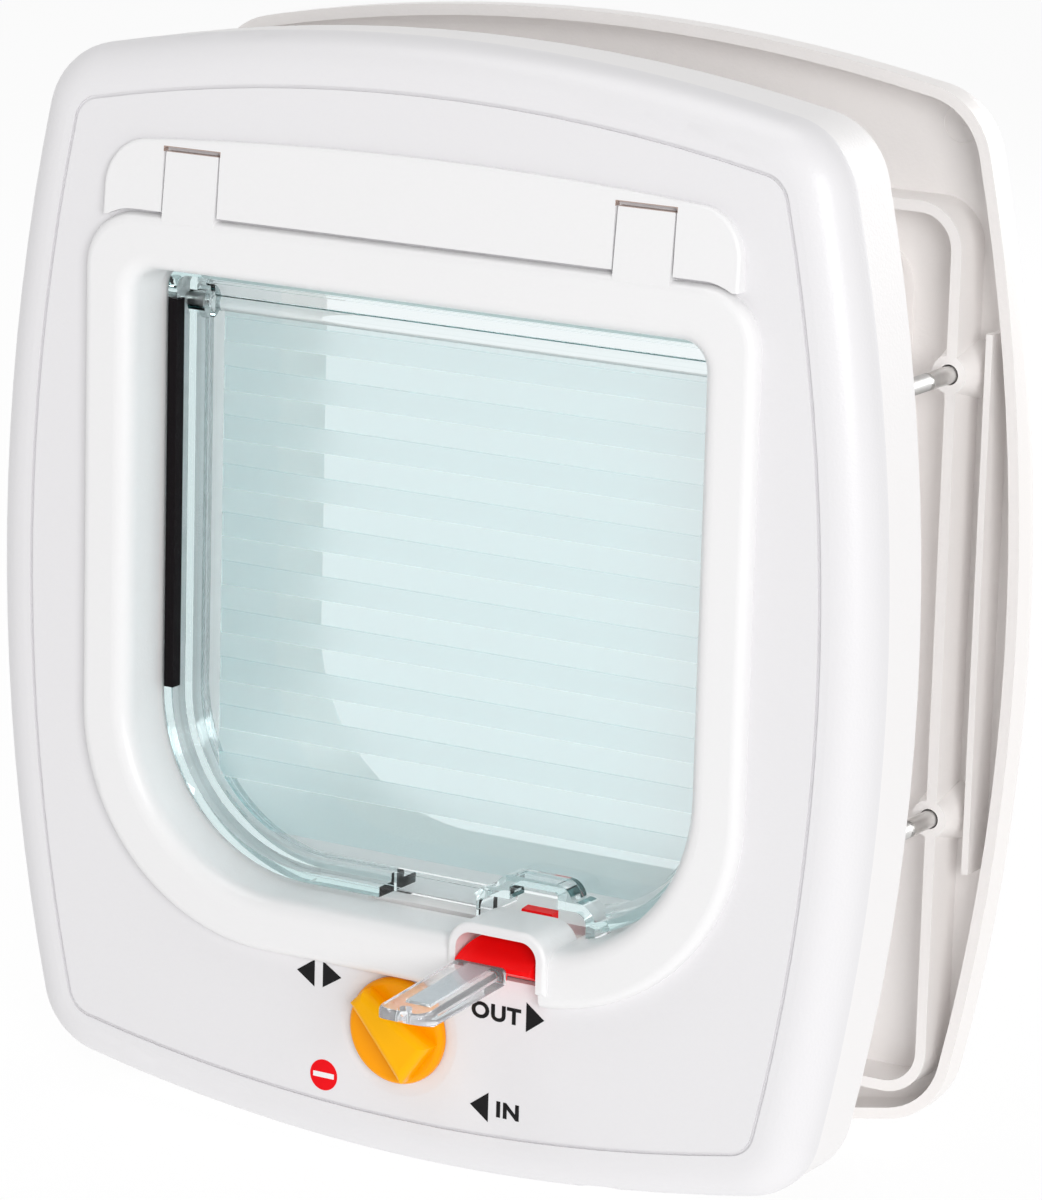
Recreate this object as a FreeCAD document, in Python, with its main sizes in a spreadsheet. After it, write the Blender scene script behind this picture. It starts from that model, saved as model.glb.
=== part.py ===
import FreeCAD, Part
import math
import os
import re
import Sketcher

# Four-way cat flap: an inside frame and an outside frame, screwed together through a door.
# X points right as seen from inside the room, Y into the door and Z up, in millimetres.
# The origin is the centre of the passage, in the plane of the door's inside face.

V = FreeCAD.Vector
os.makedirs("parts", exist_ok=True)
doc = FreeCAD.newDocument("CatFlap")

# Driving sizes: alias, value, and what it is
SIZES = {
    "side_border": (40, "frame beside the opening, across the middle"),
    "knob_drop": (25, "knob's axis, below the sill"),
    "knob_border": (32, "frame below the knob's axis"),
    "side_bow": (463, "radius of the bowed left and right sides"),
    "end_bow": (440, "radius of the bowed top and bottom"),
    "corner_round": (18, "outline's corner radius"),
    "door_gap": (46, "door thickness between the two frames"),
    "inside_depth": (25, "inside frame, from the door to its face"),
    "cover_depth": (9.6, "front cover, from the face to the parting line"),
    "cover_wall": (2.4, "cover's wall"),
    "face_round": (9, "rounding of both frames' outer edges"),
    "parting_step": (0.5, "base set in from the cover at the parting line"),
    "groove_inset": (11, "groove line, in from the outline"),
    "groove_width": (0.8, "groove line"),
    "groove_depth": (0.7, "groove line"),
    "web": (2.4, "base plate behind the cover"),
    "passage_half": (72.5, "half width of the opening in the surround"),
    "passage_top": (69.5, "top of the opening"),
    "passage_sill": (69, "opening's sill, below the centre"),
    "passage_round": (40, "opening's lower corners"),
    "passage_top_round": (6, "opening's upper corners"),
    "tunnel_ease": (0.5, "tunnel wider than the opening, each side and below"),
    "head_room": (6.5, "tunnel's ceiling above the opening's top"),
    "tunnel_wall": (2.2, "tunnel and sleeve walls"),
    "tunnel_reach": (35, "front tunnel, behind the door's inside face"),
    "sleeve_gap": (0.8, "between the front tunnel and the rear sleeve"),
    "sleeve_overlap": (11, "sleeve slides over the front tunnel by this"),
    "surround_border": (12.5, "raised surround, round the opening"),
    "surround_round": (50, "surround's lower corners"),
    "surround_top_round": (13, "surround's upper corners"),
    "surround_rise": (3.5, "surround above the cover's face"),
    "surround_wall": (2.2, "surround's inner sleeve"),
    "surround_reach": (9.4, "inner sleeve, behind the cover's face"),
    "surround_lip": (4, "rounded inner edge of the surround"),
    "surround_edge": (2.4, "rounded outer edge of the surround"),
    "tab_inset": (22.1, "surround's tabs, inner side from the opening's side"),
    "tab_width": (13.8, "tab"),
    "tab_reach": (26.9, "tabs, above the opening"),
    "tab_gap": (0.5, "around each tab"),
    "strip_side": (7.8, "hinge cover, beyond the opening's side"),
    "strip_high": (31.7, "hinge cover's top edge, above the opening"),
    "strip_low": (11.6, "hinge cover's tips, above the opening"),
    "strip_bow": (900, "radius of the hinge cover's top edge"),
    "strip_round": (11, "hinge cover's upper corners"),
    "strip_edge": (0.8, "rounding of the hinge cover's outer edge"),
    "strip_rise": (3, "hinge cover at its lower edge"),
    "strip_fall": (1.8, "hinge cover is thinner by this at its top"),
    "strip_gap": (0.9, "between hinge cover and surround"),
    "arch_centre": (27.3, "latch and arch, right of the centre"),
    "arch_width": (25, "arch over the latch, at its foot"),
    "arch_height": (4.6, "arch above the sill"),
    "arch_round": (6, "arch's shoulders"),
    "arch_reach": (1.3, "arch in front of the surround"),
    "arch_edge": (1, "rounding of the arch's front edge"),
    "window_width": (20.5, "latch window under the arch"),
    "window_drop": (14, "latch window, below the sill"),
    "arch_thickness": (2.2, "arch, over the window"),
    "pivot_drop": (9.5, "flap's axis, below the opening's top"),
    "pivot_back": (6.2, "flap's axis, in front of the door's inside face"),
    "pin_radius": (1.5, "hinge pins"),
    "pin_length": (13, "hinge pins"),
    "running_gap": (0.06, "radial clearance of turning fits"),
    "fit_gap": (0.3, "clearance of pieces that slip together"),
    "press_gap": (0.02, "radial clearance of pins held in their holes"),
    "flap_gap": (0.8, "flap inside the opening"),
    "flap_depth": (16, "flap's rim, front to back"),
    "rim_wall": (2.4, "flap's rim"),
    "pane": (3, "flap's clear pane"),
    "step_height": (2, "inner step of the rim"),
    "step_depth": (6, "inner step of the rim"),
    "axle_radius": (2.2, "line of the axle across the pane"),
    "hub_radius": (4, "flap's hubs"),
    "hub_length": (7, "flap's hubs"),
    "band_pitch": (11.2, "level bands on the pane"),
    "band_height": (5.6, "one band"),
    "band_relief": (0.35, "bands stand out of the pane"),
    "band_start": (8.8, "lower edge of the top band, below the axis"),
    "band_inset": (10.5, "bands' ends, from the opening's sides"),
    "band_count": (10, "bands"),
    "latch_notch": (27, "gap in the flap's lower edge over the arch"),
    "latch_notch_rise": (6.2, "top of that gap, above the sill"),
    "notch_round": (3, "upper corners of that gap"),
    "notch_band": (2.2, "band over that gap"),
    "loop_half": (9.8, "catch loop, half width"),
    "loop_rise": (11.8, "catch loop's top, above the sill"),
    "loop_wall": (2, "catch loop, over its space"),
    "loop_gap_half": (6.2, "space in the catch loop, half width"),
    "lobe_notch_half": (12.7, "gap in the flap's lower edge for the lobes"),
    "lobe_notch_rise": (5, "height of that gap"),
    "fin": (1.8, "fin between the two lobes"),
    "seal_depth": (3, "draught strips, let into the rim's front"),
    "seal_rise": (1, "draught strips' upper end, above the flap's axis"),
    "latch_drop": (4.5, "latch's axis, below the sill"),
    "latch_pivot_y": (25.5, "latch's axis, in front of the door's inside face"),
    "latch_pin_radius": (1, "latch's steel pin"),
    "latch_hub": (2.6, "latch's hub"),
    "latch_width": (19, "latch's front block"),
    "latch_tab": (7.8, "latch's tab"),
    "latch_round": (4, "upper corners of the latch's block"),
    "latch_lug": (3.4, "lugs that hold the latch's pin"),
    "latch_reach": (5.7, "latch's front face, ahead of its axis"),
    "key_side": (3, "magnet key, left of the latch's middle"),
    "key_width": (13.4, "magnet key"),
    "key_length": (33.5, "magnet key"),
    "key_thick": (3.6, "magnet key"),
    "key_rise": (0.8, "key's top at its root, above the latch's axis"),
    "key_droop": (2.6, "key's free end below its root"),
    "key_round": (4.5, "corners of the key's free end"),
    "key_edge": (1.2, "rounding of the key's upper edges"),
    "key_magnet_width": (6, "bar magnet"),
    "key_magnet_thick": (1.6, "bar magnet"),
    "key_magnet_length": (25, "bar magnet"),
    "eyelet_radius": (1.6, "key's eyelet"),
    "knob_radius": (12.2, "knob"),
    "knob_skirt": (2.2, "knob's disc above the dish"),
    "knob_ridge": (7, "knob's ridge above the dish"),
    "knob_edge": (2, "rounding of the ridge"),
    "dish_radius": (15.3, "dish in the cover"),
    "dish_depth": (1.1, "dish in the cover"),
    "shaft_radius": (6, "knob's shaft"),
    "spigot": (7, "square end of the shaft"),
    "lobe_rise": (2.4, "selector's lobes, above the sill"),
    "lobe_thick": (1.8, "selector's lobes"),
    "lobe_half_angle": (22, "half of a lobe, in degrees"),
    "lobe_front": (12, "front of the first lobe, ahead of the door"),
    "lobe_pitch": (8, "from the first lobe to the second"),
    "hub_disc": (9, "selector's hub"),
    "detent_radius": (1.2, "four notches in the hub"),
    "cover_boss_side": (22.5, "cover's screw bosses, from the frame's sides"),
    "cover_boss_end": (38, "cover's screw bosses, from the frame's ends"),
    "post_left": (34, "lock cover's posts, left of the centre"),
    "post_right": (39, "lock cover's posts, right of the centre"),
    "post_drop": (14, "upper posts, below the sill"),
    "post_border": (12, "lower posts, above the frame's end"),
    "post_radius": (3.2, "posts that carry the lock cover"),
    "lock_plate": (1.6, "lock cover"),
    "post_hole": (1.25, "screw holes of posts and bosses"),
    "small_screw": (1.2, "shank radius of the small screws"),
    "small_head": (2.8, "head radius of the small screws"),
    "boss_side": (19.3, "frame screws, from the frame's sides"),
    "boss_high": (54.5, "upper frame screws, above the centre"),
    "boss_low": (46, "lower frame screws, below the centre"),
    "insert_radius": (3, "brass inserts"),
    "insert_length": (8, "brass inserts"),
    "base_boss": (5, "bosses of the base"),
    "screw_radius": (2, "frame screws, M4"),
    "screw_head": (3.7, "frame screws' heads"),
    "screw_head_depth": (2.4, "frame screws' heads"),
    "screw_clear": (0.3, "radial clearance in the outside bosses"),
    "outside_depth": (14, "outside frame"),
    "outside_wall": (2.6, "outside frame"),
    "plate_round": (3, "outside frame's inner corner"),
    "collar_side": (17.5, "collar ring, from the frame's sides"),
    "collar_high": (22.5, "collar ring's top, above the opening"),
    "collar_end": (15, "collar ring's bottom, from the frame's end"),
    "collar_round": (10.5, "collar ring's corners"),
    "collar_wall": (2.5, "collar ring"),
    "boss_tip": (4.2, "outside bosses at their tips"),
    "boss_root": (7, "outside bosses at their roots"),
    "side_rib_in": (11.9, "side ribs of the outside frame, from its sides"),
    "side_rib_high": (64, "side ribs' upper end"),
    "side_rib_low": (58, "side ribs' lower end, below the centre"),
    "side_rib": (1.6, "side ribs"),
}

# Places worked out from the sizes; those called low, sill or floor are below the centre
WORKED_OUT = {
    "frame_half": "passage_half+side_border",
    "frame_tall": "passage_sill+knob_drop+knob_border",
    "knob_height": "passage_sill+knob_drop",
    "tunnel_half": "passage_half+tunnel_ease",
    "tunnel_top": "passage_top+head_room",
    "tunnel_floor": "passage_sill+tunnel_ease",
    "surround_half": "passage_half+surround_border",
    "surround_top": "passage_top+surround_border",
    "surround_low": "passage_sill+surround_border",
    "tab_inner": "passage_half-tab_inset",
    "tab_top": "passage_top+tab_reach",
    "strip_half": "passage_half+strip_side",
    "strip_top": "passage_top+strip_high",
    "strip_bottom": "passage_top+strip_low",
    "pivot_height": "passage_top-pivot_drop",
    "band_top": "pivot_height-band_start",
    "band_half": "passage_half-band_inset",
    "notch_top": "passage_sill-latch_notch_rise",
    "loop_top": "passage_sill-loop_rise",
    "seal_top": "pivot_height+seal_rise",
    "seal_low": "passage_sill-passage_round-0.5",
    "latch_pivot_z": "passage_sill+latch_drop",
    "key_centre": "arch_centre-key_side",
    "lobe_radius": "knob_drop+lobe_rise",
    "cover_boss_x": "frame_half-cover_boss_side",
    "cover_boss_z": "frame_tall-cover_boss_end",
    "post_high": "passage_sill+post_drop",
    "post_low": "frame_tall-post_border",
    "boss_x": "frame_half-boss_side",
    "collar_half": "frame_half-collar_side",
    "collar_top": "passage_top+collar_high",
    "collar_low": "frame_tall-collar_end",
    "side_rib_x": "frame_half-side_rib_in",
}

sheet = doc.addObject("Spreadsheet::Sheet", "Sizes")
for row, (alias, (amount, meaning)) in enumerate(SIZES.items(), start=1):
    sheet.set(f"A{row}", meaning)
    sheet.set(f"B{row}", str(amount))
    sheet.setAlias(f"B{row}", alias)
doc.recompute()


# Expressions name the sizes and places as plain words
def cell(text):
    """The expression with each place spelt out and the sheet's name before each size"""
    def spelt(word):
        if word[0] in WORKED_OUT:
            return f"({cell(WORKED_OUT[word[0]])})"
        return "Sizes." + word[0] if word[0] in SIZES else word[0]
    return re.sub(r"[a-z]\w*", spelt, text)


def number(text):
    return float(sheet.evalExpression(cell(text)))


# Bodies, sketches and features
PLANES = {"XZ_Plane": -1, "YZ_Plane": 1, "XY_Plane": 1}


def new_body(name):
    body = doc.addObject("PartDesign::Body", name)
    body.Label = name
    return body


def new_sketch(body, plane, at):
    sketch = body.newObject("Sketcher::SketchObject", body.Name + "_sketch")
    side = [item for item in body.Origin.OriginFeatures if item.Role == plane][0]
    sketch.AttachmentSupport = [(side, "")]
    sketch.MapMode = "FlatFace"
    turn = "-" if PLANES[plane] < 0 else ""
    sketch.setExpression("AttachmentOffset.Base.z", cell(f"{turn}({at})"))
    return sketch


def span(body, kind, start, end, *outlines, plane="XZ_Plane"):
    """Pad or Pocket the outlines from start to end along the model's own axis"""
    sketch = new_sketch(body, plane, start)
    for draw, *args in outlines:
        draw(sketch, *args)
    feature = body.newObject("PartDesign::" + kind, body.Name + "_" + kind.lower())
    feature.Profile = sketch
    along_normal = PLANES[plane] > 0
    feature.Reversed = along_normal if kind == "Pocket" else not along_normal
    feature.setExpression("Length", cell(f"({end}) - ({start})"))
    sketch.Visibility = False
    return feature


def hollow(body, kind, name, *outlines, plane="YZ_Plane"):
    """Pocket or Pad the outlines evenly to both sides of a plane through the centre"""
    sketch = new_sketch(body, plane, "0")
    for draw, *args in outlines:
        draw(sketch, *args)
    feature = body.newObject("PartDesign::" + kind, body.Name + "_" + name)
    feature.Profile = sketch
    feature.Midplane = True
    feature.setExpression("Length", cell("4*frame_half"))
    return feature


def round_edges(body, radius, test, kind="Fillet"):
    """Round the edges of the body's tip that the test picks by their middle and box"""
    doc.recompute()
    base = body.Tip
    names = []
    for index, edge in enumerate(base.Shape.Edges, start=1):
        if test(edge.BoundBox, edge):
            names.append(f"Edge{index}")
    if not names:
        raise ValueError(f"{body.Name}: no edge to round")
    feature = body.newObject("PartDesign::" + kind, body.Name + "_" + kind.lower())
    feature.Base = (base, names)
    feature.setExpression("Radius" if kind == "Fillet" else "Size", cell(radius))
    base.Visibility = False
    doc.recompute()
    return feature


def near(a, b, gap=0.01):
    return abs(a - b) < gap


def in_plane(box, y):
    return near(box.YMin, y) and near(box.YMax, y)


# Outlines
def hold(sketch, kind, *rest):
    sketch.addConstraint(Sketcher.Constraint(kind, *rest))


def bind(sketch, kind, expression, *rest):
    index = sketch.addConstraint(Sketcher.Constraint(kind, *rest, number(expression)))
    sketch.setExpression(f"Constraints[{index}]", cell(expression))


def arc(centre, radius, start, end):
    circle = Part.Circle(V(centre[0], centre[1], 0), V(0, 0, 1), radius)
    return Part.ArcOfCircle(circle, start, end)


def bowed(sketch, inset="0"):
    """The frames' outline, set in: four bowed sides and four corner arcs, all tangent"""
    half_w, half_h = number(f"frame_half-({inset})"), number(f"frame_tall-({inset})")
    side, end = number(f"side_bow-({inset})"), number(f"end_bow-({inset})")
    corner = max(number(f"corner_round-({inset})"), 2)
    side_x, end_z = half_w - side, half_h - end
    # A corner's centre lies on both bows less the corner's radius
    to_side, to_end = side - corner, end - corner
    gap = math.hypot(side_x, end_z)
    along = (to_side ** 2 - to_end ** 2 + gap ** 2) / (2 * gap)
    across = math.sqrt(to_side ** 2 - along ** 2)
    unit = (-side_x / gap, end_z / gap)
    centre = (side_x + unit[0] * along - unit[1] * across, unit[1] * along + unit[0] * across)
    if centre[0] < 0 or centre[1] < 0:
        centre = (side_x + unit[0] * along + unit[1] * across, unit[1] * along - unit[0] * across)
    turn_side = math.atan2(centre[1], centre[0] - side_x)
    turn_end = math.atan2(centre[1] - end_z, centre[0])
    half = math.pi / 2
    arcs = [
        arc((side_x, 0), side, -turn_side, turn_side),
        arc(centre, corner, turn_side, turn_end),
        arc((0, end_z), end, turn_end, 2 * half - turn_end),
        arc((-centre[0], centre[1]), corner, 2 * half - turn_end, 2 * half - turn_side),
        arc((-side_x, 0), side, 2 * half - turn_side, 2 * half + turn_side),
        arc((-centre[0], -centre[1]), corner, 2 * half + turn_side, 2 * half + turn_end),
        arc((0, -end_z), end, 2 * half + turn_end, 4 * half - turn_end),
        arc((centre[0], -centre[1]), corner, 4 * half - turn_end, 4 * half - turn_side),
    ]
    first = sketch.GeometryCount
    sketch.addGeometry(arcs)
    for index in range(8):
        hold(sketch, "Tangent", first + index, 2, first + (index + 1) % 8, 1)
    for index, axis in ((0, -1), (4, -1), (2, -2), (6, -2)):
        hold(sketch, "PointOnObject", first + index, 3, axis)
    bind(sketch, "Radius", f"side_bow-({inset})", first)
    bind(sketch, "Radius", f"side_bow-({inset})", first + 4)
    bind(sketch, "Radius", f"end_bow-({inset})", first + 2)
    bind(sketch, "Radius", f"end_bow-({inset})", first + 6)
    bind(sketch, "DistanceX", "side_bow-frame_half", first, 3, -1, 1)
    bind(sketch, "DistanceX", "side_bow-frame_half", -1, 1, first + 4, 3)
    bind(sketch, "DistanceY", "end_bow-frame_tall", first + 2, 3, -1, 1)
    bind(sketch, "DistanceY", "end_bow-frame_tall", -1, 1, first + 6, 3)
    radius = f"max(corner_round-({inset});2)"
    for index in (1, 3, 5, 7):
        at = sketch.addConstraint(Sketcher.Constraint("Radius", first + index, corner))
        sketch.setExpression(f"Constraints[{at}]", cell(radius))


def panel(sketch, left, right, low, top, low_round="0", top_round="0"):
    """A rectangle whose lower and upper corners have their own radii; 0 leaves them sharp"""
    x0, x1, z0, z1 = number(left), number(right), number(low), number(top)
    corners = [(x0, z0), (x1, z0), (x1, z1), (x0, z1)]
    radii = [low_round, low_round, top_round, top_round]
    steps = [(1, 0), (0, 1), (-1, 0), (0, -1)]
    first = sketch.GeometryCount
    cuts = [number(radius) for radius in radii]
    for index in range(4):
        ax, az = corners[index]
        bx, bz = corners[(index + 1) % 4]
        dx, dz = steps[index]
        start = V(ax + dx * cuts[index], az + dz * cuts[index], 0)
        finish = V(bx - dx * cuts[(index + 1) % 4], bz - dz * cuts[(index + 1) % 4], 0)
        sketch.addGeometry(Part.LineSegment(start, finish))
        hold(sketch, "Horizontal" if dx else "Vertical", first + index)
    for index in range(4):
        before, after = first + (index - 1) % 4, first + index
        if cuts[index] == 0:
            hold(sketch, "Coincident", before, 2, after, 1)
            continue
        dx, dz = steps[index]
        back = steps[(index - 1) % 4]
        cx = corners[index][0] + (dx - back[0]) * cuts[index]
        cz = corners[index][1] + (dz - back[1]) * cuts[index]
        begin = math.atan2(-dz, -dx)
        bend = sketch.addGeometry(arc((cx, cz), cuts[index], begin, begin + math.pi / 2))
        hold(sketch, "Tangent", before, 2, bend, 1)
        hold(sketch, "Tangent", bend, 2, after, 1)
        bind(sketch, "Radius", radii[index], bend)
    bind(sketch, "DistanceY", low, -1, 1, first, 1)
    bind(sketch, "DistanceX", right, -1, 1, first + 1, 1)
    bind(sketch, "DistanceY", top, -1, 1, first + 2, 1)
    bind(sketch, "DistanceX", left, -1, 1, first + 3, 1)


def circle(sketch, x, z, radius):
    index = sketch.addGeometry(Part.Circle(V(number(x), number(z), 0), V(0, 0, 1), number(radius)))
    bind(sketch, "Radius", radius, index)
    place(sketch, index, 3, x, z)


def place(sketch, index, point, x, z):
    """Pin a point of the sketch to a place given by two expressions"""
    for kind, text, axis in (("DistanceX", x, -2), ("DistanceY", z, -1)):
        if near(number(text), 0, 1e-9):
            hold(sketch, "PointOnObject", index, point, axis)
        else:
            bind(sketch, kind, text, -1, 1, index, point)


def shape_of(sketch, *points):
    """A closed outline of straight lines through points given as pairs of expressions"""
    first = sketch.GeometryCount
    count = len(points)
    spots = [V(number(x), number(z), 0) for x, z in points]
    for index in range(count):
        sketch.addGeometry(Part.LineSegment(spots[index], spots[(index + 1) % count]))
    for index in range(count):
        hold(sketch, "Coincident", first + index, 2, first + (index + 1) % count, 1)
        place(sketch, first + index, 1, *points[index])


def crowned(sketch, half, low, top, bow):
    """Upright sides, a level lower edge and a bowed upper edge"""
    w, z0, z1, r = number(half), number(low), number(top), number(bow)
    shoulder = z1 - r + math.sqrt(r * r - w * w)
    spots = [V(-w, shoulder, 0), V(-w, z0, 0), V(w, z0, 0), V(w, shoulder, 0)]
    first = sketch.GeometryCount
    for index in range(3):
        sketch.addGeometry(Part.LineSegment(spots[index], spots[index + 1]))
    angle = math.asin(w / r)
    sketch.addGeometry(arc((0, z1 - r), r, math.pi / 2 - angle, math.pi / 2 + angle))
    hold(sketch, "Coincident", first, 2, first + 1, 1)
    hold(sketch, "Coincident", first + 1, 2, first + 2, 1)
    hold(sketch, "Coincident", first + 2, 2, first + 3, 1)
    hold(sketch, "Coincident", first + 3, 2, first, 1)
    hold(sketch, "Vertical", first)
    hold(sketch, "Horizontal", first + 1)
    hold(sketch, "Vertical", first + 2)
    bind(sketch, "Radius", bow, first + 3)
    hold(sketch, "PointOnObject", first + 3, 3, -2)
    bind(sketch, "DistanceY", f"{top}-({bow})", -1, 1, first + 3, 3)
    bind(sketch, "DistanceX", f"-({half})", -1, 1, first, 2)
    bind(sketch, "DistanceY", low, -1, 1, first, 2)
    bind(sketch, "DistanceX", half, -1, 1, first + 1, 2)


def sector(sketch, x, z, radius, middle, half_angle):
    """A pie slice about a centre; the angles are in degrees from the right, turning upwards"""
    ends = []
    for sign in ("-", "+"):
        angle = f"({middle}){sign}({half_angle})"
        ends.append((f"{x}+({radius})*cos({angle})", f"{z}+({radius})*sin({angle})"))
    centre, start, finish = (V(number(a), number(b), 0) for a, b in ((x, z), *ends))
    turn = [math.radians(number(f"({middle}){sign}({half_angle})")) for sign in ("-", "+")]
    first = sketch.GeometryCount
    sketch.addGeometry(Part.LineSegment(centre, start))
    sketch.addGeometry(arc((centre.x, centre.y), number(radius), *turn))
    sketch.addGeometry(Part.LineSegment(finish, centre))
    hold(sketch, "Coincident", first, 2, first + 1, 1)
    hold(sketch, "Coincident", first + 1, 2, first + 2, 1)
    hold(sketch, "Coincident", first + 2, 2, first, 1)
    hold(sketch, "Coincident", first + 1, 3, first, 1)
    place(sketch, first, 1, x, z)
    place(sketch, first, 2, *ends[0])
    bind(sketch, "DistanceX", ends[1][0], -1, 1, first + 2, 1)


# Planes across the inside frame, from the room towards the door
FACE = "-inside_depth"
COVER_BACK = "-inside_depth+cover_wall"
PARTING = "-inside_depth+cover_depth"
WEB_BACK = "-inside_depth+cover_depth+web"
SURROUND_FRONT = "-inside_depth-surround_rise"
SURROUND_BACK = "-inside_depth+surround_reach"
DOOR_IN = "0"
DOOR_OUT = "door_gap"
OUTER_FACE = "door_gap+outside_depth"
PLATE_IN = "door_gap+outside_depth-outside_wall"
HEAD_SEAT = "door_gap+outside_depth-screw_head_depth-fit_gap"
KNOB = ("0", "-knob_height")
FLAP_AXIS = ("-pivot_back", "pivot_height")
LATCH_AXIS = ("-latch_pivot_y", "-latch_pivot_z")
PIN_IN = "passage_half-flap_gap-hub_length+1.2"
PIN_OUT = "passage_half-flap_gap-hub_length+pin_length"


def passage(grow):
    """The opening's outline, grown evenly"""
    return (
        panel, f"-(passage_half+{grow})", f"passage_half+{grow}", f"-(passage_sill+{grow})",
        f"passage_top+{grow}", f"passage_round+{grow}", f"passage_top_round+{grow}",
    )


def surround(grow):
    """The raised surround's outline, grown evenly"""
    return (
        panel, f"-(surround_half+{grow})", f"surround_half+{grow}", f"-(surround_low+{grow})",
        f"surround_top+{grow}", f"surround_round+{grow}", f"surround_top_round+{grow}",
    )


def tunnel(grow):
    """The tunnel's inner outline, grown evenly"""
    return (
        panel, f"-(tunnel_half+{grow})", f"tunnel_half+{grow}", f"-(tunnel_floor+{grow})",
        f"tunnel_top+{grow}", f"passage_round+{grow}", f"passage_top_round+{grow}",
    )


def both_sides(near_end, far_end):
    """The same stretch right and left of the centre"""
    return (near_end, far_end), (f"-({far_end})", f"-({near_end})")


def circles(spots, radius):
    return [(circle, x, z, radius) for x, z in spots]


# Where the short and the long screws stand, and the lock cover's posts
COVER_SPOTS = [(x, z) for x in ("-cover_boss_x", "cover_boss_x") for z in ("-cover_boss_z", "cover_boss_z")]
FRAME_SPOTS = [(x, z) for x in ("-boss_x", "boss_x") for z in ("-boss_low", "boss_high")]
POSTS = [(x, z) for x in ("-post_left", "post_right") for z in ("-post_high", "-post_low")]


def inside_frame():
    """White cover: a thin shell with a soft edge, a groove line and a shallow dish for the knob"""
    body = new_body("inside_frame")
    span(body, "Pad", FACE, PARTING, (bowed, "0"))
    span(body, "Pocket", COVER_BACK, PARTING, (bowed, "cover_wall"))
    round_edges(body, "face_round-cover_wall", lambda box, edge: in_plane(box, number(COVER_BACK)))
    round_edges(body, "face_round", lambda box, edge: in_plane(box, number(FACE)))
    span(
        body, "Pocket", FACE, FACE + "+groove_depth",
        (bowed, "groove_inset"), (bowed, "groove_inset+groove_width"),
    )
    span(body, "Pad", COVER_BACK, PARTING, *circles(COVER_SPOTS, "post_radius"))
    span(body, "Pocket", COVER_BACK, PARTING, *circles(COVER_SPOTS, "post_hole"))
    span(body, "Pocket", FACE, PARTING, passage("surround_wall+fit_gap"))
    lug = "window_width/2+latch_lug+fit_gap"
    span(
        body, "Pocket", FACE, COVER_BACK,
        (panel, f"arch_centre-({lug})", f"arch_centre+{lug}", "-latch_pivot_z-4", "-passage_sill-1"),
    )
    dish = new_sketch(body, "YZ_Plane", "0")
    dish.setExpression("AttachmentOffset.Base.y", cell("-knob_height"))
    bow = "(dish_radius^2+dish_depth^2)/(2*dish_depth)"
    y0, depth, radius, r = number(FACE), number("dish_depth"), number("dish_radius"), number(bow)
    swing = math.asin(radius / r)
    dish.addGeometry(arc((y0 + depth - r, 0), r, 0, swing))
    dish.addGeometry(Part.LineSegment(V(y0, radius, 0), V(y0 - 1, radius, 0)))
    dish.addGeometry(Part.LineSegment(V(y0 - 1, radius, 0), V(y0 - 1, 0, 0)))
    dish.addGeometry(Part.LineSegment(V(y0 - 1, 0, 0), V(y0 + depth, 0, 0)))
    for index in range(4):
        hold(dish, "Coincident", index, 2, (index + 1) % 4, 1)
    for index, point in ((0, 3), (2, 2), (3, 2)):
        hold(dish, "PointOnObject", index, point, -1)
    hold(dish, "Horizontal", 1)
    hold(dish, "Vertical", 2)
    bind(dish, "Radius", bow, 0)
    bind(dish, "DistanceX", FACE + "+dish_depth", -1, 1, 3, 2)
    bind(dish, "DistanceY", "dish_radius", -1, 1, 0, 2)
    bind(dish, "DistanceX", FACE + "-1", -1, 1, 2, 2)
    cut = body.newObject("PartDesign::Groove", "inside_frame_dish")
    cut.Profile = dish
    cut.ReferenceAxis = (dish, ["H_Axis"])
    cut.Angle = 360
    span(body, "Pocket", FACE, PARTING, (circle, *KNOB, "shaft_radius+running_gap"))
    return body


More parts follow.
